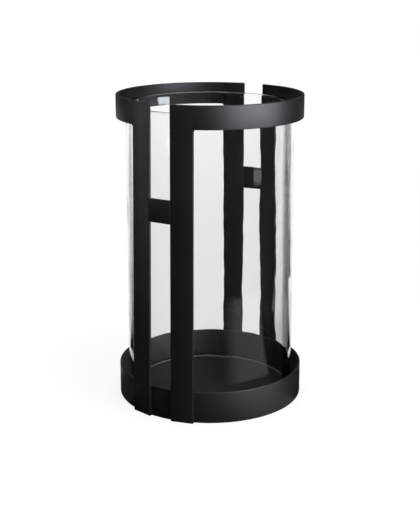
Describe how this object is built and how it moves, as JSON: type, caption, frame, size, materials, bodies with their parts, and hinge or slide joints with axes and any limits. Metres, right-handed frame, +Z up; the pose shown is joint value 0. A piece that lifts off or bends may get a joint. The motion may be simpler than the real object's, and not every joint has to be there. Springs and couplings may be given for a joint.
{
  "type": "hurricane candle lantern",
  "caption": "Cylindrical hurricane candle lantern: a loose clear glass cylinder stands in a round tray inside a black flat-bar steel frame with a split top band and H-shaped uprights.",
  "frame": {"origin": "on the table, under the centre of the tray, at the underside of the foot pads", "axes": "+Z up along the axis of the glass; the two pairs of uprights face -Y (front) and +Y (back); the top bands curve round -X (left) and +X (right)"},
  "size_m": [0.205, 0.2108, 0.34],
  "materials": {
    "frame_steel": "satin black powder coat",
    "pad_felt": "pressed felt",
    "clear_glass": "clear, slightly wavy, fire-polished rim"
  },
  "bodies": {
    "frame": {"tray_floor": "frame_steel", "tray_wall": "frame_steel", "upright_front_left": "frame_steel", "upright_front_right": "frame_steel", "upright_back_left": "frame_steel", "upright_back_right": "frame_steel", "crossbar_front": "frame_steel", "crossbar_back": "frame_steel", "top_band_left": "frame_steel", "top_band_right": "frame_steel", "tray_welds": "frame_steel", "band_welds": "frame_steel", "foot_pads": "pad_felt"},
    "glass": {"glass_cylinder": "clear_glass"}
  },
  "joints": [
    {"name": "glass_lift", "type": "slide", "parent": "frame", "child": "glass", "axis": [0, 0, 1], "range_m": [0, 0.345]}
  ]
}
